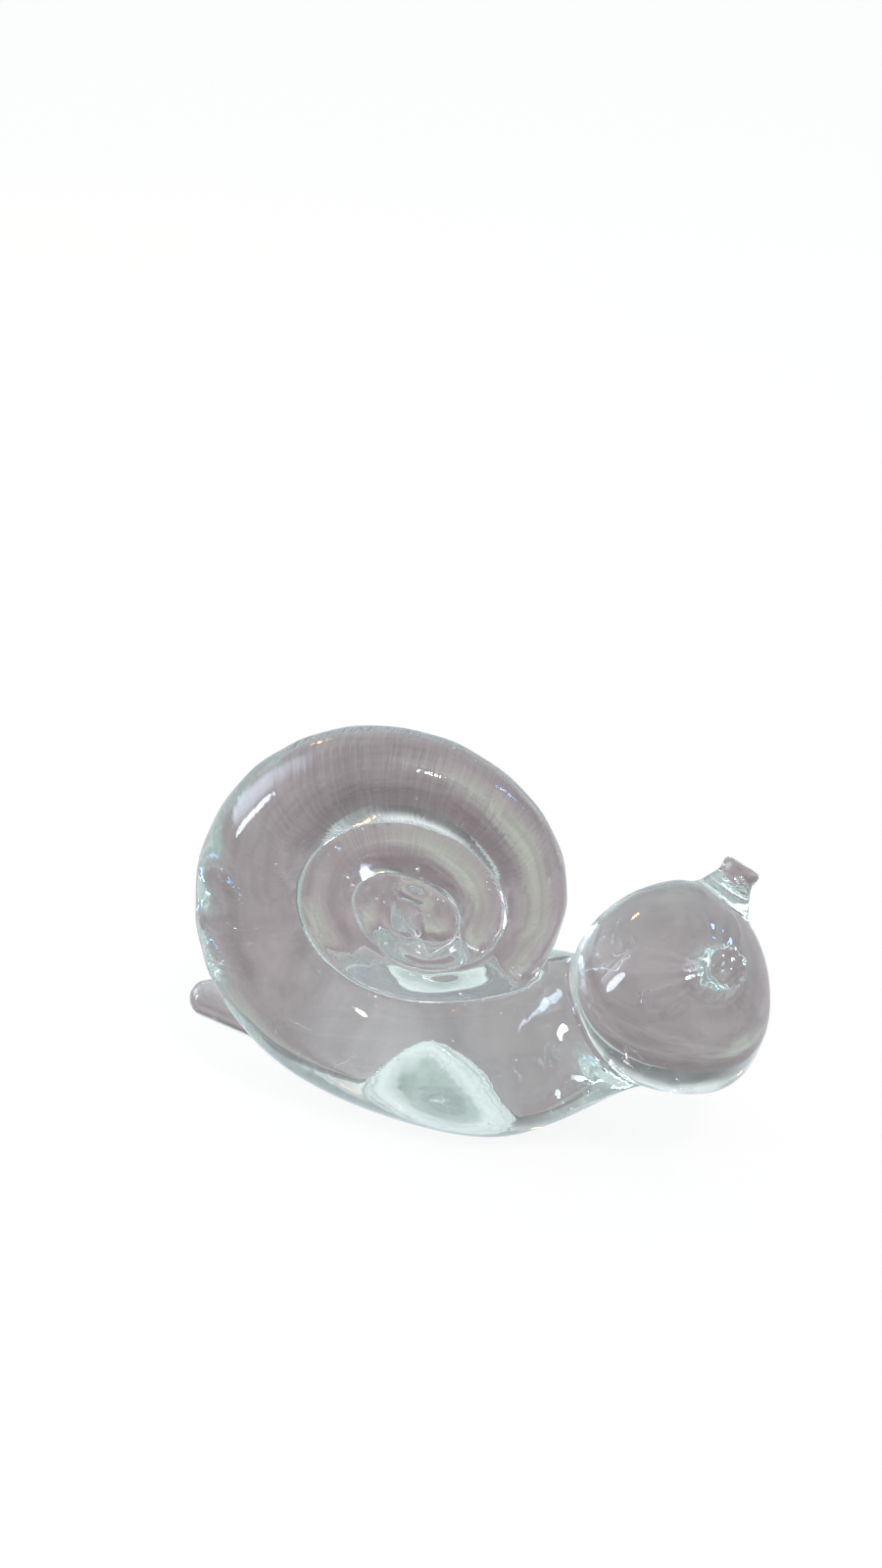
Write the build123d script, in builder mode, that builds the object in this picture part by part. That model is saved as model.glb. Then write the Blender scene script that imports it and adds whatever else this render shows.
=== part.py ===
"""A clear glass snail: one hot gather drawn out to a tapering rope and coiled on itself.

The bulb end of the rope is the head, its thick start is the foot, and the thin end is
wound round the foot's back into a flat coil that is the shell. The turns are pressed
together while hot, so their seams are narrow valleys. Nothing on the figurine moves.
Frame: +X forward (head), +Z up, the middle of the ground resting face at the origin.
"""
import os
from math import acos, asin, atan2, cos, hypot, pi, radians, sin, sqrt

from build123d import *

os.makedirs("parts", exist_ok=True)

# Coil (millimetres): its eye, the radius of the first seam, half the rope's thickest depth
# and how far a turn is pressed into the one outside it
eye_height = 52.3
eye_setback = 17.6
seam_radius = 23.4
rope_depth = 20.0
seam_press = 1.0

# Head bulb, blunter in front than behind, and neck: the radius of the bulb's cut, and how
# much thinner and higher the neck starts there
head_radius = 22.2
head_front = 16.1
head_back = 25.4
head_forward = 42.3
head_height = 40.2
head_pitch = 20.5
head_yaw = -4.3
neck_radius = 14.8
neck_step = 0.5
neck_shift = 0.9
neck_pitch = 46.5

# Feelers, drawn out of the bulb and sheared off: how far the ends stand outside the bulb's
# radius, their lean forward and spread aside, and the place of the round inside the bulb
# that their webs run off, behind its middle and under its surface
feeler_length = 5.4
feeler_lean = 17.9
feeler_spread = 37.9
feeler_tip_radius = 4.3
feeler_waist_radius = 3.9
feeler_lip = 2.2
web_setback = 6.0
web_cover = 2.8

# Tail, pinched out of the rope's underside
tail_back = 62.1
tail_height = 16.2
tail_radius = 4.3
tail_root_radius = 4.8
tail_length = 17.0
tail_pitch = 17.5

# The rope every 30 degrees along the coil, from the neck: the seam inside it and its free
# outside as shares of seam_radius, and half its thickness across as shares of rope_depth
neck_angle = -60
step = 30
turn = 360
seam_shares = [
    1.260, 1.040, 1.000, 0.987, 0.976, 0.966, 0.962, 0.958, 0.950, 0.930, 0.900, 0.872,
    0.800, 0.671, 0.577, 0.526, 0.496, 0.491, 0.483, 0.444, 0.385, 0.385, 0.430, 0.500,
    0.540, 0.480, 0.330, 0.210, 0.140, 0.110, 0.098, 0.092, 0.088, 0.085, 0.082, 0.080,
    0.078,
]
outside_shares = [
    2.725, 2.630, 2.315, 2.250, 2.077, 1.923, 1.825, 1.756, 1.667, 1.551, 1.470, 1.368,
]
depth_shares = [
    0.910, 0.990, 0.940, 0.800, 0.730, 0.650, 0.590, 0.550, 0.500, 0.445, 0.400, 0.375,
    0.365, 0.360, 0.355, 0.350, 0.345, 0.340, 0.335, 0.330, 0.325, 0.320, 0.315, 0.310,
    0.300, 0.290, 0.280, 0.272, 0.264, 0.257, 0.250, 0.245, 0.240, 0.235, 0.230, 0.225,
    0.220,
]

# Bead left in the coil's eye where the rope was nipped off, and how far below the eye
bead_radius = 5.6
bead_drop = 3.3

# Angles where one named length of the rope ends and the next begins
foot_front_angle = -30
foot_back_angle = 30
outer_end_angle = 300
inner_end_angle = 630
core_end_angle = 900
tip_start_angle = 1020
tip_sweep_angle = 42
tip_shares = (0.5, 0.8, 0.95)

# The whole coil leans forward by this much
coil_lean_angle = 3.5

# Where the flat of a seam begins on the round flank of the thinner of the two turns
seam_angle = 40
flank_shares = (0, 0.5)


def at(shares, angle):
    """Entry of a table at a whole step of angle."""
    return shares[(angle - neck_angle) // step]


def radial_plane(angle):
    """Half-plane through the coil's axis: x runs outward, the normal along the rope."""
    a = radians(angle + coil_lean_angle)
    return Plane(
        origin=(-eye_setback, 0, eye_height),
        x_dir=(-sin(a), 0, -cos(a)),
        z_dir=(-cos(a), 0, sin(a)),
    )


def rope_section(plane, inner, outer, depth, valley, seam_inside=False, seam_outside=False):
    """The rope cut across: two round flanks, flat on a side where a seam lies.

    The flank inside runs down to a valley, half as thick as the seam there is deep.
    """
    middle = (inner + outer) / 2
    half = (outer - inner) / 2
    corner_out = radians(seam_angle)
    corner_in = asin(valley / depth)
    reach_out = half / cos(corner_out) if seam_outside else half
    reach_in = half / cos(corner_in) if seam_inside else half
    near = []
    for share in flank_shares:
        a = corner_out + (pi / 2 - corner_out) * share
        near.append((middle + reach_out * cos(a), depth * sin(a)))
    near.append((middle, depth))
    for share in reversed(flank_shares):
        a = corner_in + (pi / 2 - corner_in) * share
        near.append((middle - reach_in * cos(a), depth * sin(a)))
    far = [(x, -y) for x, y in reversed(near)]
    start = (-reach_out * sin(corner_out), depth * cos(corner_out))
    end = (-reach_in * sin(corner_in), -depth * cos(corner_in))
    with BuildSketch(plane) as section:
        with BuildLine():
            Spline(*near, tangents=(start, end))
            if seam_inside:
                Line(near[-1], far[0])
            else:
                ThreePointArc(near[-1], (inner, 0), far[0])
            Spline(*far, tangents=((-end[0], end[1]), (-start[0], start[1])))
            if seam_outside:
                Line(far[-1], near[0])
            else:
                ThreePointArc(far[-1], (outer, 0), near[0])
        make_face()
    return section.sketch


def coil_section(angle, place=None, size=1):
    """The rope's outline at a step of angle, or shrunk to a size at another place."""
    inner = seam_radius * at(seam_shares, angle)
    under_a_turn = angle - turn >= neck_angle
    if under_a_turn:
        outer = seam_radius * at(seam_shares, angle - turn)
        if angle > outer_end_angle:
            outer += seam_press
    else:
        outer = seam_radius * at(outside_shares, angle)
    middle = (inner + outer) / 2
    half = (outer - inner) / 2 * size
    depth = rope_depth * at(depth_shares, angle) * size
    thinner = min(angle + turn, tip_start_angle) if angle < outer_end_angle else angle
    valley = rope_depth * at(depth_shares, thinner) * size * sin(radians(seam_angle))
    plane = radial_plane(angle if place is None else place)
    return rope_section(plane, middle - half, middle + half, depth, valley, True, under_a_turn)


# Head: a blunt bulb turned about its own axis, cut flat where the neck meets it
head_centre = (head_forward, 0, head_height)
head_axis = Axis(head_centre, (cos(radians(head_pitch)), 0, sin(radians(head_pitch))))
across = (sin(radians(neck_pitch)), 0, -cos(radians(neck_pitch)))
along = (cos(radians(neck_pitch)), 0, sin(radians(neck_pitch)))
neck_plane = Plane(origin=head_centre, x_dir=across, z_dir=along).offset(
    -head_back * sqrt(1 - (neck_radius / head_radius) ** 2)
)
with BuildPart() as head:
    with BuildSketch(Plane(head_centre, x_dir=head_axis.direction, z_dir=(0, -1, 0))):
        with BuildLine():
            EllipticalCenterArc((0, 0), head_back, head_radius, 90, arc_size=90)
            EllipticalCenterArc((0, 0), head_front, head_radius, 0, arc_size=90)
            Line((-head_back, 0), (head_front, 0))
        make_face()
    revolve(axis=head_axis)
    split(bisect_by=neck_plane, keep=Keep.TOP)
head.part.label = "head"
export_step(head.part, "parts/head.step")

# Body: the thick start of the rope from the head to behind the shell, in one sweep
with BuildPart() as body:
    start = neck_radius - neck_step
    valley = start * sin(radians(seam_angle))
    add(rope_section(neck_plane, -start - neck_shift, start - neck_shift, start, valley))
    for angle in range(neck_angle, foot_back_angle + 1, step):
        add(coil_section(angle))
    loft()

# Foot: the part of the body under the shell, ground flat where it stands
with BuildPart() as foot:
    add(body.part)
    split(bisect_by=radial_plane(foot_front_angle), keep=Keep.TOP)
    split(bisect_by=Plane.XY, keep=Keep.TOP)
foot.part.label = "foot"
export_step(foot.part, "parts/foot.step")

# Outer turn: up round the back, over the top and down behind the head
with BuildPart() as outer_turn:
    for angle in range(foot_back_angle, outer_end_angle + 1, step):
        add(coil_section(angle))
    loft()
outer_turn.part.label = "outer_turn"
export_step(outer_turn.part, "parts/outer_turn.step")

# Neck: the part of the body rising to the head, with the shell resting on its back
with BuildPart() as neck:
    add(body.part)
    split(bisect_by=radial_plane(foot_front_angle), keep=Keep.BOTTOM)
    split(bisect_by=Plane.XY, keep=Keep.TOP)
neck.part.label = "neck"
export_step(neck.part, "parts/neck.step")

# Inner turn: the rope inside the first seam
with BuildPart() as inner_turn:
    for angle in range(outer_end_angle, inner_end_angle + 1, step):
        add(coil_section(angle))
    loft()
    for neighbour in (outer_turn, foot, neck):
        add(neighbour.part, mode=Mode.SUBTRACT)
inner_turn.part.label = "inner_turn"
export_step(inner_turn.part, "parts/inner_turn.step")

# Core turn: the thinnest stretch, inside the inner turn
with BuildPart() as core_turn:
    for angle in range(inner_end_angle, core_end_angle + 1, step):
        add(coil_section(angle))
    loft()
    for neighbour in (outer_turn, inner_turn):
        add(neighbour.part, mode=Mode.SUBTRACT)
core_turn.part.label = "core_turn"
export_step(core_turn.part, "parts/core_turn.step")

# Rope tip: the end of the rope, swelling to a rounded drop in the coil's eye
with BuildPart() as rope_tip:
    for angle in range(core_end_angle, tip_start_angle + 1, step):
        add(coil_section(angle))
    for share in tip_shares:
        add(coil_section(tip_start_angle, tip_start_angle + tip_sweep_angle * share, sqrt(1 - share**2)))
    loft()
    with Locations((-eye_setback, 0, eye_height - bead_drop)):
        Sphere(bead_radius)
    for neighbour in (inner_turn, core_turn):
        add(neighbour.part, mode=Mode.SUBTRACT)
rope_tip.part.label = "rope_tip"
export_step(rope_tip.part, "parts/rope_tip.step")

# Feelers: two pulls of hot glass from the bulb, parted by the head's middle plane, each a
# cone-shaped web running off the bulb's round, a waist and a sheared, lipped end
mid_plane = Plane(
    origin=head_centre,
    x_dir=(cos(radians(head_yaw)), sin(radians(head_yaw)), 0),
    z_dir=(-sin(radians(head_yaw)), cos(radians(head_yaw)), 0),
)
tip_distance = head_radius + feeler_length
forward = tip_distance * cos(radians(feeler_spread)) * sin(radians(feeler_lean))
rise = tip_distance * cos(radians(feeler_spread)) * cos(radians(feeler_lean))
aside = tip_distance * sin(radians(feeler_spread))
web_centre = Vector(*head_centre) - head_axis.direction * web_setback
web_radius = head_radius - web_cover
for name, side in (("far_feeler", 1), ("near_feeler", -1)):
    tip = mid_plane.from_local_coords((forward, -rise, side * aside))
    feeler_reach = (Vector(*tip) - web_centre).length
    feeler_axis = Axis(web_centre, Vector(*tip) - web_centre)
    normal = feeler_axis.direction.cross(mid_plane.z_dir)
    waist = feeler_reach - 1.5 * feeler_lip
    swing = atan2(feeler_waist_radius, waist) + acos(web_radius / hypot(waist, feeler_waist_radius))
    root = (web_radius * cos(swing), web_radius * sin(swing))
    lip = (feeler_reach - feeler_lip / 2, feeler_tip_radius)
    with BuildPart() as feeler:
        with BuildSketch(Plane(web_centre, x_dir=feeler_axis.direction, z_dir=normal)):
            with BuildLine():
                Polyline((feeler_reach, 0), (root[0], 0), root, (waist, feeler_waist_radius), lip)
                Polyline(lip, (feeler_reach, feeler_waist_radius), (feeler_reach, 0))
            make_face()
        revolve(axis=feeler_axis)
        add(head.part, mode=Mode.SUBTRACT)
        split(bisect_by=mid_plane, keep=Keep.TOP if side > 0 else Keep.BOTTOM)
    feeler.part.label = name
    export_step(feeler.part, f"parts/{name}.step")

# Tail: a small rounded nub pinched out of the rope's underside
tail_tip = (-tail_back, 0, tail_height)
tail_axis = Axis(tail_tip, (cos(radians(tail_pitch)), 0, -sin(radians(tail_pitch))))
with BuildPart() as tail:
    with BuildSketch(Plane(tail_tip, x_dir=tail_axis.direction, z_dir=(0, -1, 0))):
        with BuildLine():
            CenterArc((0, 0), tail_radius, 90, 90)
            Line((0, tail_radius), (tail_length, tail_root_radius))
            CenterArc((tail_length, 0), tail_root_radius, 0, 90)
            Line((tail_length + tail_root_radius, 0), (-tail_radius, 0))
        make_face()
    revolve(axis=tail_axis)
    for neighbour in (outer_turn, foot):
        add(neighbour.part, mode=Mode.SUBTRACT)
tail.part.label = "tail"
export_step(tail.part, "parts/tail.step")
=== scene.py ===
from math import cos, radians, sin

import bmesh
import bpy
import numpy as np
from mathutils import Matrix, Vector
from mathutils.bvhtree import BVHTree


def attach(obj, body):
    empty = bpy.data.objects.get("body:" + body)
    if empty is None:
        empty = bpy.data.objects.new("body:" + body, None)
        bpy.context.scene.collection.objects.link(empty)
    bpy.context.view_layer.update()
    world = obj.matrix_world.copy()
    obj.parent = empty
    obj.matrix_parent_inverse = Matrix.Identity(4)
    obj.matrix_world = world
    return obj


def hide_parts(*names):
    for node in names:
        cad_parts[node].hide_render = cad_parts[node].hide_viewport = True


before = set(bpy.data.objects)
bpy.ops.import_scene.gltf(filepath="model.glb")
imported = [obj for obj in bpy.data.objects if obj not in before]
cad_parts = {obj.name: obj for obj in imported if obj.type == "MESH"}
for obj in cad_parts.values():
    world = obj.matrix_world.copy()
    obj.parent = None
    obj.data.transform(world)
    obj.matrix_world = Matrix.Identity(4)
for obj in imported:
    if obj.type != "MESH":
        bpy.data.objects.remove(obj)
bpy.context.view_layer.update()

# The rope
# One hot gather of clear soda glass, drawn out to a taper and wound on itself while soft.
# Its thick start is the neck and foot, its thin end the eye of the shell, and each turn
# is pressed into the one outside it, so that only a narrow valley shows where they fused.
mm = 0.001
eye = np.array([-17.6, 52.3])
seam_radius = 23.4
rope_depth = 20.0
seam_angle = radians(40)
neck_angle, turn, step = -60, 360, 30
rows_per_turn = turn // step
seam_shares = np.array([
    1.260, 1.040, 1.000, 0.987, 0.976, 0.966, 0.962, 0.958, 0.950, 0.930, 0.900, 0.872,
    0.800, 0.671, 0.577, 0.526, 0.496, 0.491, 0.483, 0.444, 0.385, 0.385, 0.430, 0.500,
    0.540, 0.480, 0.330, 0.210, 0.140, 0.110, 0.098, 0.092, 0.088, 0.085, 0.082, 0.080,
    0.078,
])
outside_shares = np.array([
    2.725, 2.630, 2.315, 2.250, 2.077, 1.923, 1.825, 1.756, 1.667, 1.551, 1.470, 1.368,
])
depth_shares = np.array([
    0.910, 0.990, 0.940, 0.800, 0.730, 0.650, 0.590, 0.550, 0.500, 0.445, 0.400, 0.375,
    0.365, 0.360, 0.355, 0.350, 0.345, 0.340, 0.335, 0.330, 0.325, 0.320, 0.315, 0.310,
    0.300, 0.290, 0.280, 0.272, 0.264, 0.257, 0.250, 0.245, 0.240, 0.235, 0.230, 0.225,
    0.220,
])
neck_centre = np.array([28.6, 27.1])
neck_radius = 14.3
neck_pitch = radians(46.5)
neck_rings = ((8, 0.8), (0, 1))
neck_run_on = 0.2
tip_sweep, tip_rings = 42, 8
coil_lean = 3.5
rings_per_step, rope_sides = 8, 64


def smooth_rows(rows, per_step):
    """Rows of a table with per_step - 1 more between each pair, on a curve through all
    of them: each stretch is the cubic whose slope at a row is half the step between the
    rows before and after it."""
    padded = np.vstack([2 * rows[:1] - rows[1:2], rows, 2 * rows[-1:] - rows[-2:-1]])
    place = np.linspace(0, len(rows) - 1, (len(rows) - 1) * per_step + 1)
    k = np.minimum(place.astype(int), len(rows) - 2)
    t = (place - k)[:, None]
    a, b, c, d = (padded[k + n] for n in range(4))
    slope_in, slope_out = (c - a) / 2, (d - b) / 2
    bend = t * t * (3 - 2 * t)
    return b + (c - b) * bend + slope_in * t * (1 - t) ** 2 - slope_out * t * t * (1 - t)


def grid_faces(rings, sides):
    """Quads between rings of points, each ring closed on itself, numbered ring by ring."""
    ring, side = np.meshgrid(np.arange(rings - 1), np.arange(sides), indexing="ij")
    here, over = ring * sides, (side + 1) % sides
    quads = np.stack([here + side, here + sides + side, here + sides + over, here + over])
    return quads.reshape(4, -1).T


def tube(points):
    """Vertices, quads and triangles of a closed tube from an array of rings (rings, sides,
    3): quads join the rings, and triangles join each end ring to the middle of it."""
    rings, sides = points.shape[:2]
    ends = np.array([points[0].mean(0), points[-1].mean(0)])
    vertices = np.vstack([points.reshape(-1, 3), ends])
    side = np.arange(sides)
    over = (side + 1) % sides
    last = (rings - 1) * sides
    first_fan = np.stack([side, over, np.full(sides, rings * sides)], 1)
    last_fan = np.stack([last + over, last + side, np.full(sides, rings * sides + 1)], 1)
    return vertices, grid_faces(rings, sides), np.vstack([first_fan, last_fan])


def rope_rings(per_step, sides):
    """The rope's rings, each in a plane through the coil's eye: middle + half width * reach
    * cos(phi) across, depth * sin(phi) deep. Half the width is half way from the seam
    inside to the seam or the air outside. Reach is 1, or more where the oval runs on over
    a seam into the next turn: 1 / cos(seam angle) outwards, and inwards as much as lets
    both turns meet in one valley. The end's rings turn on round the eye and shrink as a
    half circle does."""
    angle = neck_angle + step * np.arange(len(seam_shares))
    inner = seam_radius * seam_shares
    outer = seam_radius * np.concatenate([outside_shares, seam_shares[:-rows_per_turn]])
    depth = rope_depth * depth_shares
    seamed = np.where(angle > neck_angle + turn - step, 1.0, 0.0)
    row = np.arange(len(angle))
    row_inside = np.where(row < rows_per_turn, row + rows_per_turn, row)
    valley = depth[row_inside] / depth * sin(seam_angle)
    a = np.radians(angle + coil_lean)
    away = np.stack([-np.sin(a), -np.cos(a)], 1)
    low = eye + away * inner[:, None]
    high = eye + away * outer[:, None]
    across = np.array([sin(neck_pitch), -cos(neck_pitch)])
    along = np.array([cos(neck_pitch), sin(neck_pitch)])
    neck = [(neck_centre + along * s, neck_radius * r) for s, r in neck_rings]
    low = np.vstack([[c - across * r for c, r in neck], low])
    high = np.vstack([[c + across * r for c, r in neck], high])
    depth = np.concatenate([[r for c, r in neck], depth])
    seamed = np.concatenate([[0, 0], seamed])
    seam_in = np.concatenate([[0, neck_run_on], 1 / np.sqrt(1 - valley**2) - 1])
    rows = np.column_stack([low, high, depth, seamed, seam_in])
    rows = smooth_rows(rows, per_step)
    low, high, depth = rows[:, 0:2], rows[:, 2:4], rows[:, 4]
    seamed, seam_in = np.clip(rows[:, 5], 0, 1), np.clip(rows[:, 6], 0, 1)
    phi = np.linspace(0, 2 * np.pi, sides, endpoint=False)
    run_on = 1 / cos(seam_angle) - 1
    reach = np.where(np.cos(phi) > 0, 1 + run_on * seamed[:, None], 1 + seam_in[:, None])
    middle, half = (low + high) / 2, (high - low) / 2
    flat = middle[:, None] + half[:, None] * (reach * np.cos(phi))[..., None]
    rings = np.stack([flat[..., 0], depth[:, None] * np.sin(phi), flat[..., 1]], 2)
    share = np.sin(np.linspace(0, np.pi / 2, tip_rings + 2))[1:-1]
    end = rings[-1]
    turned = np.radians(tip_sweep) * share[:, None]
    size = np.sqrt(1 - share**2)[:, None]
    centre = end.mean(0)
    x = centre[0] + (end[:, 0] - centre[0]) * size - eye[0]
    z = centre[2] + (end[:, 2] - centre[2]) * size - eye[1]
    y = end[:, 1] * size
    caps = np.stack([
        eye[0] + x * np.cos(turned) + z * np.sin(turned),
        y,
        eye[1] + z * np.cos(turned) - x * np.sin(turned),
    ], 2)
    return np.concatenate([rings, caps])


rope = rope_rings(rings_per_step, rope_sides)
parts = [tube(rope)]

# The head
# The bulb of clear glass left at the end of the gather. It was rolled blunt in front and
# longer behind, where the neck grows out of it, and it is fused with the neck.
head_centre = np.array([42.3, 0, 40.2])
head_radius, head_front, head_back = 22.2, 16.1, 25.4
head_rings, head_sides = 60, 96
head_pitch = radians(20.5)
head_yaw = radians(-4.3)


def turned_rings(start, axis, along, radii, sides):
    """Rings of a turned form: start + axis * along + radius * (side * cos(phi) + other *
    sin(phi)), where side and other lie square to the axis."""
    axis = axis / np.linalg.norm(axis)
    # any direction will do that no axis here lies along
    side = np.cross(axis, [0.3, 0.9, 0.1])
    side /= np.linalg.norm(side)
    other = np.cross(axis, side)
    phi = np.linspace(0, 2 * np.pi, sides, endpoint=False)[:, None]
    circle = side * np.cos(phi) + other * np.sin(phi)
    along, radii = np.asarray(along), np.asarray(radii)
    return start + axis * along[:, None, None] + circle * radii[:, None, None]


off_axis = np.radians(np.linspace(2, 178, head_rings))
reach = np.where(off_axis < np.pi / 2, head_front, head_back)
head_axis = np.array([cos(head_pitch), 0, sin(head_pitch)])
parts.append(tube(turned_rings(
    head_centre, head_axis, reach * np.cos(off_axis), head_radius * np.sin(off_axis),
    head_sides)))

# The feelers
# Two pulls of hot glass from the bulb, cut off with shears. Each runs off the bulb in a
# cone-shaped web, which is drawn in a little, to a waist and a lipped, sheared end.
feeler_length, feeler_lean, feeler_spread = 5.4, radians(17.9), radians(37.9)
web_setback, web_radius, web_draw = 6.0, 19.4, 1.1
waist_radius, waist_back = 3.9, 3.3
lip_back = np.array([2.5, 1.7, 1.1, 0.5, 0.0])
lip_radii = np.array([3.85, 4.1, 4.3, 4.2, 3.7])
web_rings, feeler_sides = 16, 48
ahead = np.array([cos(head_yaw), sin(head_yaw), 0])
aside = np.array([-sin(head_yaw), cos(head_yaw), 0])
upward = np.array([0, 0, 1.0])
web_centre = head_centre - web_setback * head_axis
share = np.linspace(0, 1, web_rings)
feeler_tips = []
for side in (1, -1):
    pull = cos(feeler_spread) * (sin(feeler_lean) * ahead + cos(feeler_lean) * upward)
    pull = pull + side * sin(feeler_spread) * aside
    tip = head_centre + pull * (head_radius + feeler_length)
    feeler_tips.append(tip)
    length = np.linalg.norm(tip - web_centre)
    waist = length - waist_back
    # the cone from the waist touches a ball in the bulb at this angle from the feeler's axis
    swing = np.arctan2(waist_radius, waist)
    swing = swing + np.arccos(web_radius / np.hypot(waist, waist_radius))
    root, root_radius = web_radius * cos(swing), web_radius * sin(swing)
    along = np.concatenate([root + (waist - root) * share, length - lip_back])
    web = root_radius + (waist_radius - root_radius) * share
    web = web - 4 * web_draw * share * (1 - share)
    radii = np.concatenate([web, lip_radii])
    parts.append(tube(turned_rings(web_centre, tip - web_centre, along, radii, feeler_sides)))

# The tail
# A small nub of the same glass, pinched out of the rope's underside with the jacks while
# soft. It is a little thicker at its root, where it was pressed back on.
tail_tip = np.array([-62.1, 0, 16.2])
tail_pitch = radians(17.5)
tail_radius, tail_root_radius, tail_length = 4.3, 4.8, 17.0
dome_rings, stem_rings, root_rings, tail_sides = 12, 8, 6, 40
tail_axis = np.array([cos(tail_pitch), 0, -sin(tail_pitch)])
dome = np.radians(np.linspace(4, 90, dome_rings))
share = np.linspace(0.1, 1, stem_rings)
root = np.radians(np.linspace(15, 80, root_rings))
along = np.concatenate([
    -tail_radius * np.cos(dome),
    tail_length * share,
    tail_length + tail_root_radius * np.sin(root),
])
radii = np.concatenate([
    tail_radius * np.sin(dome),
    tail_radius + (tail_root_radius - tail_radius) * share,
    tail_root_radius * np.cos(root),
])
parts.append(tube(turned_rings(tail_tip, tail_axis, along, radii, tail_sides)))

# The bead
# A last drop of the glass in the coil's eye, where the rope's end was nipped off hot. It
# sank into the turns round it and is fused with them.
bead_radius, bead_drop = 5.6, 3.3
bead_rings, bead_sides = 30, 40
bead_centre = np.array([eye[0], 0, eye[1] - bead_drop])
arc = np.radians(np.linspace(4, 176, bead_rings))
parts.append(tube(turned_rings(
    bead_centre, np.array([0, 1.0, 0]), -bead_radius * np.cos(arc), bead_radius * np.sin(arc),
    bead_sides)))

# The glass skin
# Rope, head, feelers, tail and bead are one body of glass. Their surfaces are fused, with
# seams as soft as fire polish leaves them and a skin that waves a little from handwork. The
# foot is ground flat where the figurine stands.
skin_step = 0.65 * mm
wave_height, wave_shortest, wave_longest = 0.09 * mm, 8 * mm, 17 * mm
relief_places = np.array([(-9.4, 50.9), (-16.2, 57.5), (-25.2, 53.6)]) * mm
relief_sizes = np.array([(3.2, 5.4), (2.9, 3.1), (3.3, 4.2)]) * mm
relief_heights = np.array([0.7, 0.5, 0.6]) * mm
crumple_height, crumple_shortest, crumple_longest = 0.8 * mm, 2.2 * mm, 4.5 * mm
crumple_reach = 7.5 * mm
crease_height, creases, sways, sway = 0.22 * mm, 13, 3, 2
crease_reach, crease_band, crease_gap = 24.0 * mm, 4 * mm, 0.6
ground_band, rolled_band, rolled_share = 1.5 * mm, 26 * mm, 0.1
rng = np.random.default_rng(11)


def joined_mesh(name, shells):
    """One mesh of all the shells, in metres: their vertices one after another, and the
    corners of each shell's faces counted on from the shells before it."""
    points, faces, count = [], [], 0
    for shell_points, quads, triangles in shells:
        points.append(shell_points)
        faces += (quads + count).tolist() + (triangles + count).tolist()
        count += len(shell_points)
    mesh = bpy.data.meshes.new(name)
    mesh.from_pydata(np.vstack(points) * mm, [], faces)
    return mesh


rough = bpy.data.objects.new("glass_rough", joined_mesh("glass_rough", parts))
bpy.context.collection.objects.link(rough)
fuse = rough.modifiers.new("fuse", "REMESH")
fuse.mode = "VOXEL"
fuse.voxel_size = skin_step
polish = rough.modifiers.new("fire_polish", "SMOOTH")
polish.factor = 0.5
polish.iterations = 9
bpy.context.view_layer.update()
fused = rough.evaluated_get(bpy.context.evaluated_depsgraph_get())
skin = bpy.data.meshes.new_from_object(fused)
bpy.data.objects.remove(rough)
skin.name = "glass_snail"


def hand_waves(place, shortest, longest, waves=10):
    """Height of the waves at each place, about one: the sum over all waves of
    sin(2 pi * place . direction / length + start), divided by the root of their number.
    Each wave has its own direction and start, and a length from shortest to longest."""
    direction = rng.normal(0, 1, (3, waves))
    direction /= np.linalg.norm(direction, axis=0)
    length = rng.uniform(shortest, longest, waves)
    start = rng.uniform(0, 2 * np.pi, waves)
    return np.sin(place @ direction * (2 * np.pi / length) + start).sum(1) / waves**0.5


place = np.empty(len(skin.vertices) * 3)
skin.vertices.foreach_get("co", place)
place = place.reshape(-1, 3)
normal = np.empty(len(skin.vertices) * 3)
skin.vertex_normals.foreach_get("vector", normal)
# the foot was rolled smooth on the marver, so the waves fade out towards the ground
rolled = np.clip(place[:, 2] / rolled_band - rolled_share, rolled_share, 1)
height = wave_height * rolled * hand_waves(place, wave_shortest, wave_longest)
# the folded end stands out in three low ovals on the front
off = (place[:, None, [0, 2]] - relief_places) / relief_sizes
oval = np.clip(1 - (off**2).sum(2), 0, 1) * (place[:, 1:2] < 0)
height += (oval * relief_heights).sum(1)
# the near feeler's end is crumpled where the shears closed, and creases fan out below it
near_tip = feeler_tips[1] * mm
pull = near_tip / mm - web_centre
pull /= np.linalg.norm(pull)
from_tip = place - near_tip
tip_distance = np.linalg.norm(from_tip, axis=1)
crumple = np.clip(1 - tip_distance / crumple_reach, 0, 1)
height += crumple_height * crumple * hand_waves(place, crumple_shortest, crumple_longest)
side = np.cross(pull, upward)
side /= np.linalg.norm(side)
round_tip = np.arctan2(from_tip @ np.cross(pull, side), from_tip @ side)
crease = np.clip(1 - tip_distance / crease_reach, 0, 1)
crease = crease * np.clip(tip_distance / crease_band - crease_gap, 0, 1)
swayed = creases * round_tip + sway * np.sin(sways * round_tip)
height += crease_height * crease * np.sin(swayed)
# nothing stands out close to the ground, where the foot is cut flat
height *= np.clip(place[:, 2] / ground_band, 0, 1)
place = place + normal.reshape(-1, 3) * height[:, None]
place[:, 2] = np.maximum(place[:, 2], 0)
skin.vertices.foreach_set("co", place.ravel())

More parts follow.
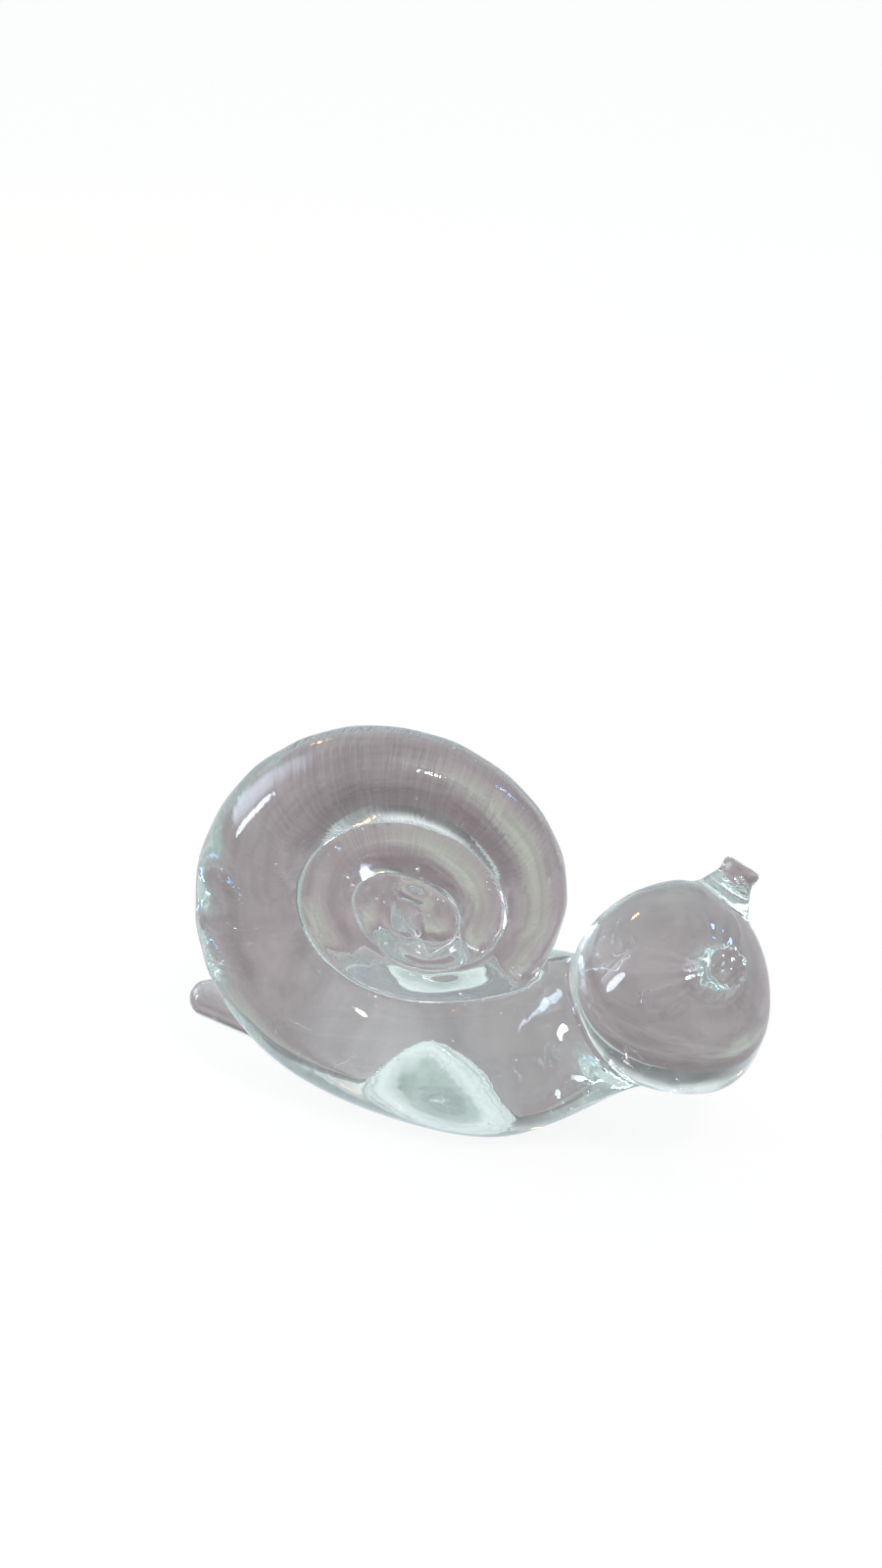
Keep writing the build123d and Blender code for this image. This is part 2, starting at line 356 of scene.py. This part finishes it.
# The air bubbles
# Seeds: tiny bubbles of air that the gather took in. They lie along the rope, most of them
# towards its thin end and its surface, and in the feelers' webs. Each is a round cavity in
# the glass, drawn a little longer one way, most are small, and all lie under the skin.
seeds_in_rope, seeds_in_webs = 110, 34
seed_rings, seed_sides = 5, 8
seed_smallest, seed_spread, seed_stretch = 0.1, 0.36, (0.7, 1.3)
seed_cover, seed_reach = 0.3, 0.86
to_thin_end, to_surface, to_small = 0.7, 0.3, 2.5
web_from, web_to, web_width, web_top = 0.68, 0.92, 7.5, 1.02
ring = (len(rope) * rng.random(seeds_in_rope) ** to_thin_end).astype(int)
middle = rope.mean(1)[ring]
edge = rope[ring, rng.integers(0, rope_sides, seeds_in_rope)]
outward = rng.random(seeds_in_rope)[:, None] ** to_surface
in_rope = middle + (edge - middle) * seed_reach * outward
which = np.array(feeler_tips)[rng.integers(0, 2, seeds_in_webs)]
up_the_web = rng.uniform(web_from, web_to, seeds_in_webs)[:, None]
in_webs = web_centre + (which - web_centre) * up_the_web
in_webs = in_webs + rng.normal(0, 1, in_webs.shape) * (web_width * (web_top - up_the_web))
centres = np.concatenate([in_rope, in_webs])
sizes = seed_smallest + seed_spread * rng.random((len(centres), 1)) ** to_small
sizes = sizes * rng.uniform(*seed_stretch, (len(centres), 3))
from_pole = np.radians(np.linspace(0, 180, seed_rings + 2)[1:-1])
round_pole = np.linspace(0, 2 * np.pi, seed_sides, endpoint=False)
lat, lon = np.meshgrid(from_pole, round_pole, indexing="ij")
ball = np.stack([np.sin(lat) * np.cos(lon), np.sin(lat) * np.sin(lon), np.cos(lat)], 2)
ball_points, ball_quads, ball_triangles = tube(ball)
ball_points[-2], ball_points[-1] = (0, 0, 1), (0, 0, -1)
skin_faces = [tuple(face.vertices) for face in skin.polygons]
under_skin = BVHTree.FromPolygons(place / mm, skin_faces)
cavities = []
for centre, size in zip(centres, sizes):
    nearest, outwards, _, distance = under_skin.find_nearest(centre)
    inside = (nearest - Vector(centre)).dot(outwards) > 0
    if inside and distance > seed_cover + size.max():
        cavities.append((centre + size * ball_points, ball_quads, ball_triangles))

# The folded end
# The rope's thin end was folded into the coil's eye. Two thin lines of air were shut in
# round the fold, one bent like a U and one like a V, a little behind its front.
air_line_cover, air_line_radius = 1.9, 0.6
air_line_steps, air_line_sides = 6, 12
in_front = -40
u_line = np.array([
    (-22.9, 47.1), (-23.0, 42.8), (-21.4, 39.5), (-17.5, 37.5), (-12.3, 37.0), (-7.5, 38.4),
    (-4.8, 41.8), (-5.4, 46.1), (-6.3, 49.1)])
v_line = np.array([(-18.5, 50.1), (-15.5, 45.0), (-12.4, 40.7), (-8.4, 43.5), (-6.4, 46.7)])


def air_line(line, sides):
    """Rings of a thin tube along a smooth line of x and z, as far under the front of the
    glass as its cover says: middle + across * radius * cos(phi) + y * radius * sin(phi).
    The radius is the full one times the root of sin(pi * share) of the line's length, so
    that both ends close."""
    front = [under_skin.ray_cast((x, in_front, z), (0, 1, 0))[0].y for x, z in line]
    line = smooth_rows(np.column_stack([line, front]), air_line_steps)
    behind = line[:, 2:] + air_line_cover
    line = line[:, :2]
    along = np.gradient(line, axis=0)
    along /= np.linalg.norm(along, axis=1)[:, None]
    share = np.linspace(0.02, 0.98, len(line))[:, None]
    radius = air_line_radius * np.sqrt(np.sin(np.pi * share))
    phi = np.linspace(0, 2 * np.pi, sides, endpoint=False)
    out, deep = radius * np.cos(phi), radius * np.sin(phi)
    x = line[:, :1] + along[:, 1:] * out
    z = line[:, 1:] - along[:, :1] * out
    return np.stack([x, behind + deep, z], 2)


cavities += [tube(air_line(line, air_line_sides)) for line in (u_line, v_line)]

# The whole snail
# Soda-lime glass, hot worked and fire polished: clear, with a faint green in its depth, fine
# cross wrinkles where the skin chilled as the rope was drawn, hairline scratches and dust
# pits. It is one piece: the skin, and the air in it as cavities whose faces look inwards.
joined = bmesh.new()
joined.from_mesh(joined_mesh("air", cavities))
bmesh.ops.recalc_face_normals(joined, faces=joined.faces)
bmesh.ops.reverse_faces(joined, faces=joined.faces)
joined.from_mesh(skin)
joined.to_mesh(skin)
joined.free()
skin.shade_smooth()
snail = bpy.data.objects.new("glass_snail", skin)
bpy.context.collection.objects.link(snail)
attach(snail, "root")
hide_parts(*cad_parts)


def linear(hex_colour):
    """An sRGB hex colour as linear red, green, blue and alpha."""
    c = np.array([int(hex_colour[i:i + 2], 16) for i in (1, 3, 5)]) / 255
    return (*np.where(c < 0.04045, c / 12.92, ((c + 0.055) / 1.055) ** 2.4), 1.0)


def add_node(tree, kind, links=None, **settings):
    """A shader node with its settings by name, and its inputs set or linked by name."""
    node = tree.nodes.new(kind)
    for key, value in settings.items():
        setattr(node, key, value)
    for key, value in (links or {}).items():
        if isinstance(value, bpy.types.NodeSocket):
            tree.links.new(value, node.inputs[key])
        else:
            node.inputs[key].default_value = value
    return node


# Soda-lime glass, fire polished, so its face is mirror smooth and gives sharp highlights
# and a clear, bent view of what lies behind. The patterns' sizes are millimetres on the
# glass. Scratches about 0.1 mm wide and pits about 0.4 mm across are coarser than real
# ones, so that they show.
wrinkle_width, wrinkle_length, wrinkle_radius = 1 * mm, 15 * mm, 35 * mm
wrinkle_patch, wrinkle_rise, wrinkle_depth = 20 * mm, 40 * mm, 0.14 * mm
scratch_spacing, scratch_level, scratch_width = 9 * mm, 0.5, 0.004
pit_spacing, mark_depth = 2.6 * mm, 0.02 * mm
glass = bpy.data.materials.new("soda_glass_fire_polished")
glass.use_nodes = True
tree = glass.node_tree
tree.nodes.clear()
place = add_node(tree, "ShaderNodeTexCoord")
from_eye = add_node(tree, "ShaderNodeVectorMath", {
    0: place.outputs["Object"], 1: (eye[0] * mm, 0, eye[1] * mm)}, operation="SUBTRACT")
axes = add_node(tree, "ShaderNodeSeparateXYZ", {0: from_eye.outputs["Vector"]})
round_eye = add_node(tree, "ShaderNodeMath", {
    0: axes.outputs["X"], 1: axes.outputs["Z"]}, operation="ARCTAN2")
# the cross wrinkles fan out from the eye, and are strongest in patches above it
across_wrinkles = add_node(tree, "ShaderNodeMath", {
    0: round_eye.outputs[0], 1: wrinkle_radius / wrinkle_width}, operation="MULTIPLY")
along_wrinkles = add_node(tree, "ShaderNodeMath", {
    0: axes.outputs["Y"], 1: 1 / wrinkle_length}, operation="MULTIPLY")
wrinkle_place = add_node(tree, "ShaderNodeCombineXYZ", {
    "X": across_wrinkles.outputs[0], "Y": along_wrinkles.outputs[0]})
wrinkles = add_node(tree, "ShaderNodeTexNoise", {
    "Vector": wrinkle_place.outputs["Vector"], "Scale": 1.0, "Detail": 2.0})
patches = add_node(tree, "ShaderNodeTexNoise", {
    "Vector": place.outputs["Object"], "Scale": 1 / wrinkle_patch, "Detail": 1.0})
above_eye = add_node(tree, "ShaderNodeMath", {
    0: axes.outputs["Z"], 1: 1 / wrinkle_rise, 2: patches.outputs["Fac"]},
    operation="MULTIPLY_ADD")
patches = add_node(tree, "ShaderNodeMapRange", {
    "Value": above_eye.outputs[0], "From Min": 0.7, "From Max": 1.5,
    "To Min": 0.1, "To Max": 1.0})
wrinkle_height = add_node(tree, "ShaderNodeMath", {
    0: wrinkles.outputs["Fac"], 1: patches.outputs["Result"]}, operation="MULTIPLY")
# a scratch runs where the noise crosses one level, and a pit is the middle of a cell
scratch_field = add_node(tree, "ShaderNodeTexNoise", {
    "Vector": place.outputs["Object"], "Scale": 1 / scratch_spacing, "Detail": 1.0,
    "Distortion": 0.6})
scratches = add_node(tree, "ShaderNodeMath", {
    0: scratch_field.outputs["Fac"], 1: scratch_level, 2: scratch_width},
    operation="COMPARE")
pits = add_node(tree, "ShaderNodeTexVoronoi", {
    "Vector": place.outputs["Object"], "Scale": 1 / pit_spacing})
pits = add_node(tree, "ShaderNodeMapRange", {
    "Value": pits.outputs["Distance"], "From Min": 0.05, "From Max": 0.09,
    "To Min": 1.0, "To Max": 0.0})
marks = add_node(tree, "ShaderNodeMath", {
    0: scratches.outputs[0], 1: pits.outputs["Result"]}, operation="MAXIMUM")
wrinkled = add_node(tree, "ShaderNodeBump", {
    "Strength": 1.0, "Distance": wrinkle_depth, "Height": wrinkle_height.outputs[0]})
marked = add_node(tree, "ShaderNodeBump", {
    "Strength": 0.5, "Distance": mark_depth, "Height": marks.outputs[0],
    "Normal": wrinkled.outputs["Normal"]})
# the wrinkles show as faint grey streaks in the clear glass
streaks = add_node(tree, "ShaderNodeMapRange", {
    "Value": wrinkle_height.outputs[0], "From Min": 0.15, "From Max": 0.65})
body = add_node(tree, "ShaderNodeMix", {
    0: streaks.outputs["Result"], 6: linear("#FFFFFF"), 7: linear("#DCDADB")},
    data_type="RGBA")
surface = add_node(tree, "ShaderNodeBsdfPrincipled", {
    "Base Color": body.outputs[2], "Roughness": 0.0, "IOR": 1.52,
    "Transmission Weight": 1.0, "Normal": marked.outputs["Normal"],
    "Sheen Weight": 0.8, "Sheen Roughness": 0.3, "Sheen Tint": linear("#EAF3F8")})
# light that has turned back inside the glass three times is let straight out
path = add_node(tree, "ShaderNodeLightPath")
turned_back = add_node(tree, "ShaderNodeMath", {
    0: path.outputs["Glossy Depth"], 1: 2.5}, operation="GREATER_THAN")
straight_out = add_node(tree, "ShaderNodeBsdfTransparent")
leaving = add_node(tree, "ShaderNodeMixShader", {
    0: turned_back.outputs[0], 1: surface.outputs["BSDF"], 2: straight_out.outputs["BSDF"]})
inside = add_node(tree, "ShaderNodeVolumeAbsorption", {
    "Color": linear("#DDEAE6"), "Density": 12.0})
add_node(tree, "ShaderNodeOutputMaterial", {
    "Surface": leaving.outputs["Shader"], "Volume": inside.outputs["Volume"]})
skin.materials.clear()
skin.materials.append(glass)

# The floor
# A sheet of matt white paper under the figurine. It glows for what looks straight at it, and
# keeps a soft shadow. Through the glass and in its shine it glows in a painted shade
# instead: a grey, paler in front and far off to the right.
floor_level, floor_reach = -0.05 * mm, 3
paper_glow = 0.84
corners = np.array([(-1, -1), (1, -1), (1, 1), (-1, 1)]) * floor_reach
floor_mesh = bpy.data.meshes.new("floor")
floor_mesh.from_pydata([(x, y, floor_level) for x, y in corners], [], [(0, 1, 2, 3)])
floor = bpy.data.objects.new("floor", floor_mesh)
bpy.context.collection.objects.link(floor)
paper = bpy.data.materials.new("white_paper_floor")
paper.use_nodes = True
tree = paper.node_tree
tree.nodes.clear()
path = add_node(tree, "ShaderNodeLightPath")
place = add_node(tree, "ShaderNodeTexCoord")
across = add_node(tree, "ShaderNodeSeparateXYZ", {0: place.outputs["Object"]})
# painted shade for rays from the glass: pale in front, grey behind, darker further back
behind = add_node(tree, "ShaderNodeMapRange", {
    "Value": across.outputs["Y"], "From Min": -0.05, "From Max": 0.05},
    interpolation_type="SMOOTHSTEP")
shade = add_node(tree, "ShaderNodeMix", {
    0: behind.outputs["Result"], 6: linear("#C2CACB"), 7: linear("#A2979B")},
    data_type="RGBA")
behind = add_node(tree, "ShaderNodeMapRange", {
    "Value": across.outputs["Y"], "From Min": 0.06, "From Max": 0.24},
    interpolation_type="SMOOTHSTEP")
shade = add_node(tree, "ShaderNodeMix", {
    0: behind.outputs["Result"], 6: shade.outputs[2], 7: linear("#85797D")},
    data_type="RGBA")
right_of = add_node(tree, "ShaderNodeMapRange", {
    "Value": across.outputs["X"], "From Min": 0.18, "From Max": 0.5},
    interpolation_type="SMOOTHSTEP")
shade = add_node(tree, "ShaderNodeMix", {
    0: right_of.outputs["Result"], 6: shade.outputs[2], 7: linear("#CFD8D6")},
    data_type="RGBA")
# a painted pool of light: a pale spot behind the coil, standing in for the light the glass
# gathers on the paper
painted_light_pool = add_node(tree, "ShaderNodeVectorMath", {
    0: place.outputs["Object"], 1: (-0.01, 0.1, 0.0)}, operation="DISTANCE")
painted_light_pool = add_node(tree, "ShaderNodeMapRange", {
    "Value": painted_light_pool.outputs["Value"], "From Min": 0.05, "From Max": 0.01},
    interpolation_type="SMOOTHSTEP")
shade = add_node(tree, "ShaderNodeMix", {
    0: painted_light_pool.outputs["Result"], 6: shade.outputs[2], 7: linear("#B6B7AF")},
    data_type="RGBA")
# the painted shade is mottled in patches about 26 mm wide
mottle = add_node(tree, "ShaderNodeTexNoise", {
    "Vector": place.outputs["Object"], "Scale": 38.0, "Detail": 4.0, "Roughness": 0.62})
mottle = add_node(tree, "ShaderNodeMapRange", {
    "Value": mottle.outputs["Fac"], "From Min": 0.35, "From Max": 0.7,
    "To Min": 0.8, "To Max": 1.26})
shade = add_node(tree, "ShaderNodeVectorMath", {
    0: shade.outputs[2], "Scale": mottle.outputs["Result"]}, operation="SCALE")
tone = add_node(tree, "ShaderNodeMix", {
    0: path.outputs["Is Camera Ray"], 6: shade.outputs["Vector"], 7: linear("#FFFFFF")},
    data_type="RGBA")
glow = add_node(tree, "ShaderNodeEmission", {"Color": tone.outputs[2], "Strength": 1.0})
sheet = add_node(tree, "ShaderNodeBsdfDiffuse", {"Color": linear("#F4F4F2")})
# a straight look meets the glow and a share of plain paper, which takes the shadow, and
# what leaves the glass meets the painted shade alone
by_glass = add_node(tree, "ShaderNodeMath", {
    0: path.outputs["Is Glossy Ray"], 1: path.outputs["Is Transmission Ray"]},
    operation="MAXIMUM")
glowing = add_node(tree, "ShaderNodeMath", {
    0: path.outputs["Is Camera Ray"], 1: paper_glow, 2: by_glass.outputs[0]},
    operation="MULTIPLY_ADD")
seen = add_node(tree, "ShaderNodeMixShader", {
    0: glowing.outputs[0], 1: sheet.outputs["BSDF"], 2: glow.outputs["Emission"]})
add_node(tree, "ShaderNodeOutputMaterial", {"Surface": seen.outputs["Shader"]})
floor_mesh.materials.append(paper)

# The room light
# A pale room: grey near the floor, darker behind at the right and brighter overhead, with
# soft large patches. A tall window stands at the left, a small lamp hangs high in front,
# and a warm and a cool spark lie behind.
world = bpy.data.worlds.new("studio")
bpy.context.scene.world = world
world.use_nodes = True
tree = world.node_tree
tree.nodes.clear()
look = add_node(tree, "ShaderNodeTexCoord")
axes = add_node(tree, "ShaderNodeSeparateXYZ", {0: look.outputs["Generated"]})
rise = add_node(tree, "ShaderNodeMapRange", {
    "Value": axes.outputs["Z"], "From Min": 0.12, "From Max": 0.5},
    interpolation_type="SMOOTHSTEP")
back_right = add_node(tree, "ShaderNodeVectorMath", {
    0: look.outputs["Generated"], 1: (0.25, 0.97, 0.0)}, operation="DOT_PRODUCT")
back_right = add_node(tree, "ShaderNodeMapRange", {
    "Value": back_right.outputs["Value"], "From Min": 0.35, "From Max": 0.85},
    interpolation_type="SMOOTHSTEP")
low_wall = add_node(tree, "ShaderNodeMix", {
    0: back_right.outputs["Result"], 6: linear("#CBD5D4"), 7: linear("#7C7A7D")},
    data_type="RGBA")
wall = add_node(tree, "ShaderNodeMix", {
    0: rise.outputs["Result"], 6: low_wall.outputs[2], 7: linear("#F6FBFC")},
    data_type="RGBA")
cloud = add_node(tree, "ShaderNodeTexNoise", {
    "Vector": look.outputs["Generated"], "Scale": 2.4, "Detail": 2.0})
cloud = add_node(tree, "ShaderNodeMapRange", {
    "Value": cloud.outputs["Fac"], "From Min": 0.38, "From Max": 0.6,
    "To Min": 0.7, "To Max": 1.15})
wall = add_node(tree, "ShaderNodeVectorMath", {
    0: wall.outputs[2], "Scale": cloud.outputs["Result"]}, operation="SCALE")
# the window's glow: a tall soft oval low at the left, further back than its two lamps
off_window = add_node(tree, "ShaderNodeVectorMath", {
    0: look.outputs["Generated"], 1: (-0.97, 0.17, 0.2)}, operation="SUBTRACT")
off_window = add_node(tree, "ShaderNodeVectorMath", {
    0: off_window.outputs["Vector"], 1: (1.0, 1.0, 0.8)}, operation="MULTIPLY")
off_window = add_node(tree, "ShaderNodeVectorMath", {
    0: off_window.outputs["Vector"]}, operation="LENGTH")
glow = add_node(tree, "ShaderNodeMapRange", {
    "Value": off_window.outputs["Value"], "From Min": 0.5, "From Max": 0.1,
    "To Min": 0.0, "To Max": 5.0}, interpolation_type="SMOOTHERSTEP")
glow = add_node(tree, "ShaderNodeVectorMath", {
    0: linear("#DCEAFF")[:3], "Scale": glow.outputs["Result"]}, operation="SCALE")
wall = add_node(tree, "ShaderNodeVectorMath", {
    0: wall.outputs["Vector"], 1: glow.outputs["Vector"]}, operation="ADD")
path = add_node(tree, "ShaderNodeLightPath")
wall = add_node(tree, "ShaderNodeMix", {
    0: path.outputs["Is Camera Ray"], 6: wall.outputs["Vector"], 7: linear("#FFFFFF")},
    data_type="RGBA")
room = add_node(tree, "ShaderNodeBackground", {"Color": wall.outputs[2], "Strength": 1.0})
add_node(tree, "ShaderNodeOutputWorld", {"Surface": room.outputs["Background"]})


figurine_middle = np.array([0, 0, 0.04])


def soft_lamp(name, place, size, watts, colour):
    """An oval lamp of a width and height at a place. Its z axis points away from the
    figurine's middle, its x axis lies level and its y axis is z cross x."""
    lamp = bpy.data.lights.new(name, "AREA")
    lamp.shape = "ELLIPSE"
    lamp.size, lamp.size_y = size
    lamp.energy = watts
    lamp.color = linear(colour)[:3]
    z = np.array(place) - figurine_middle
    z = z / np.linalg.norm(z)
    x = np.cross([0, 0, 1], z)
    x = x / np.linalg.norm(x)
    pose = np.eye(4)
    pose[:3, 0], pose[:3, 1], pose[:3, 2], pose[:3, 3] = x, np.cross(z, x), z, place
    holder = bpy.data.objects.new(name, lamp)
    holder.matrix_world = Matrix(pose.tolist())
    bpy.context.collection.objects.link(holder)


soft_lamp("window_lamp", (-0.53, -0.18, 0.13), (0.1, 0.24), 0.9, "#D6E6FF")
soft_lamp("window_middle", (-0.52, -0.175, 0.14), (0.03, 0.1), 0.3, "#E4EEFF")
soft_lamp("room_lamp", (0.25, -0.3, 0.9), (0.12, 0.12), 2, "#FFF6EC")
soft_lamp("warm_spark", (-0.5, 0.6, 0.35), (0.06, 0.06), 0.5, "#FFA850")
soft_lamp("cool_spark", (0.6, 0.5, 0.45), (0.08, 0.08), 0.5, "#70A8FF")

# The camera
# It stands in front of the figurine, a little to its right, looks down at 34 degrees and is
# turned a little about its own axis. Its place and turn were fitted to the figurine.
camera_place = np.array([0.0222140, -0.2512594, 0.2504150])
camera_data = bpy.data.cameras.new("camera")
camera_data.sensor_fit = "VERTICAL"
camera_data.sensor_height = 36
camera_data.lens = 35.4375
camera_data.clip_start = 0.01
camera = bpy.data.objects.new("camera", camera_data)
bpy.context.collection.objects.link(camera)
right = np.array([0.98466, 0.16768, 0.04819])
up = np.array([-0.13254, 0.53935, 0.83158])
pose = np.eye(4)
pose[:3, 0], pose[:3, 1], pose[:3, 2] = right, up, np.cross(right, up)
pose[:3, 3] = camera_place
camera.matrix_world = Matrix(pose.tolist())
bpy.context.scene.camera = camera
bpy.context.scene.view_settings.view_transform = "Standard"
